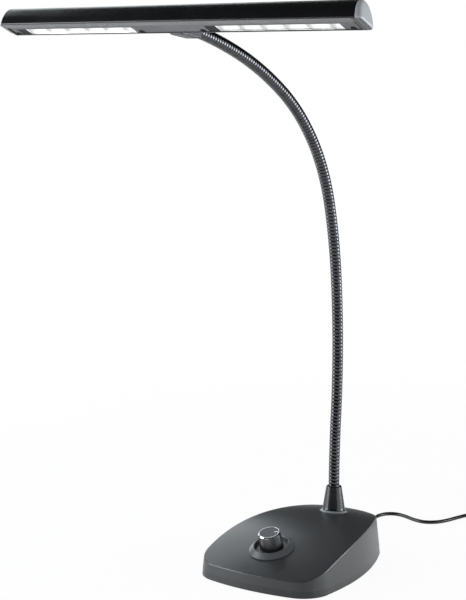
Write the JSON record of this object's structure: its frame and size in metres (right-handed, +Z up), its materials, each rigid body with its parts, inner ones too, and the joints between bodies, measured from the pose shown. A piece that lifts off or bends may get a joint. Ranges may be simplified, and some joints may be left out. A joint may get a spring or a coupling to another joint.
{
  "type": "gooseneck piano lamp",
  "caption": "Piano lamp: a long LED bar head on a bending gooseneck over a domed, weighted base with a dimmer knob and a cord.",
  "frame": {"origin": "on the surface the lamp stands on, under the middle of the base", "axes": "+X along the head to its right end, +Y to the back where the cord leaves, +Z up"},
  "size_m": [0.339, 0.5637, 0.489],
  "materials": {
    "base_plastic": "fine grained satin black",
    "rubber": "matt black rubber",
    "steel": "plain steel",
    "knob_metal": "dark anodised, spun top",
    "trim_metal": "bright turned rim",
    "knob_mark": "pale inlaid mark",
    "bezel_plastic": "satin black",
    "pot_metal": "nickel plated",
    "circuit_board": "solder mask",
    "collar_metal": "gloss black",
    "neck_metal": "gloss black wound steel",
    "head_metal": "black painted extrusion",
    "cap_plastic": "satin black",
    "panel_plastic": "satin dark grey",
    "reflector_metal": "bright reflector",
    "lens_clear": "clear cover",
    "led_white": "yellow phosphor",
    "cord_black": "gloss black jacket",
    "adapter_plastic": "satin black"
  },
  "bodies": {
    "base": {"base_cover": "base_plastic", "base_tray": "base_plastic", "rubber_feet": "rubber", "base_screws": "steel", "ballast_plate": "steel", "ballast_screws": "steel", "knob_bezel": "bezel_plastic", "dimmer_pot": "pot_metal", "pot_nut": "pot_metal", "driver_board": "circuit_board", "board_standoffs": "pot_metal", "neck_collar": "collar_metal", "neck_stud": "steel", "neck_washer": "steel", "neck_nut": "steel", "neck_segment_1": "neck_metal", "strain_relief": "rubber", "power_cord": "cord_black", "cord_coil": "cord_black", "cord_tail": "cord_black", "adapter_case": "adapter_plastic", "adapter_relief": "rubber", "adapter_pins": "pot_metal"},
    "knob": {"dimmer_knob": "knob_metal", "knob_trim_ring": "trim_metal", "knob_disc": "knob_metal", "knob_pointer": "knob_mark", "pot_shaft": "pot_metal"},
    "neck_2": {"neck_segment_2": "neck_metal"},
    "neck_3": {"neck_segment_3": "neck_metal"},
    "neck_4": {"neck_segment_4": "neck_metal"},
    "neck_5": {"neck_segment_5": "neck_metal"},
    "neck_6": {"neck_segment_6": "neck_metal"},
    "neck_7": {"neck_segment_7": "neck_metal"},
    "head": {"neck_segment_8": "neck_metal", "neck_socket": "cap_plastic", "socket_grub": "steel", "socket_bolts": "steel", "head_shell": "head_metal", "end_cap_left": "cap_plastic", "end_cap_right": "cap_plastic", "head_panel": "panel_plastic", "panel_screws": "steel", "lens_left": "lens_clear", "lens_right": "lens_clear", "reflector_left": "reflector_metal", "reflector_right": "reflector_metal", "led_board_left": "circuit_board", "led_board_right": "circuit_board", "leds_left": "led_white", "leds_right": "led_white", "head_lead": "cord_black"}
  },
  "joints": [
    {"name": "neck_lower_bend", "type": "hinge", "parent": "base", "child": "neck_2", "pos_m": [0, 0.05399, 0.12726], "axis": [1, 0, 0], "range_deg": [-18, 18]},
    {"name": "neck_sway", "type": "hinge", "parent": "neck_2", "child": "neck_3", "pos_m": [0, 0.05583, 0.19242], "axis": [0, -0.9999, -0.0169], "range_deg": [-18, 18]},
    {"name": "neck_lower_bend_2", "type": "hinge", "parent": "neck_3", "child": "neck_4", "pos_m": [0, 0.05182, 0.25747], "axis": [1, 0, 0], "range_deg": [-18, 18]},
    {"name": "neck_upper_bend", "type": "hinge", "parent": "neck_4", "child": "neck_5", "pos_m": [0, 0.03961, 0.32144], "axis": [1, 0, 0], "range_deg": [-18, 18]},
    {"name": "neck_sway_2", "type": "hinge", "parent": "neck_5", "child": "neck_6", "pos_m": [0, 0.01024, 0.37916], "axis": [0, -0.7836, -0.6213], "range_deg": [-18, 18]},
    {"name": "neck_upper_bend_2", "type": "hinge", "parent": "neck_6", "child": "neck_7", "pos_m": [0, -0.03823, 0.42228], "axis": [1, 0, 0], "range_deg": [-18, 18]},
    {"name": "neck_upper_bend_3", "type": "hinge", "parent": "neck_7", "child": "head", "pos_m": [0, -0.09661, 0.45111], "axis": [1, 0, 0], "range_deg": [-18, 18]},
    {"name": "knob_turn", "type": "hinge", "parent": "base", "child": "knob", "pos_m": [0, -0.051, 0.02869], "axis": [0, -0.2853, 0.9584], "range_deg": [-135, 135]}
  ],
  "couplings": [
    {"joint": "neck_lower_bend_2", "follows": "neck_lower_bend", "ratio": 1},
    {"joint": "neck_sway_2", "follows": "neck_sway", "ratio": 1},
    {"joint": "neck_upper_bend_2", "follows": "neck_upper_bend", "ratio": 1},
    {"joint": "neck_upper_bend_3", "follows": "neck_upper_bend", "ratio": 1}
  ]
}
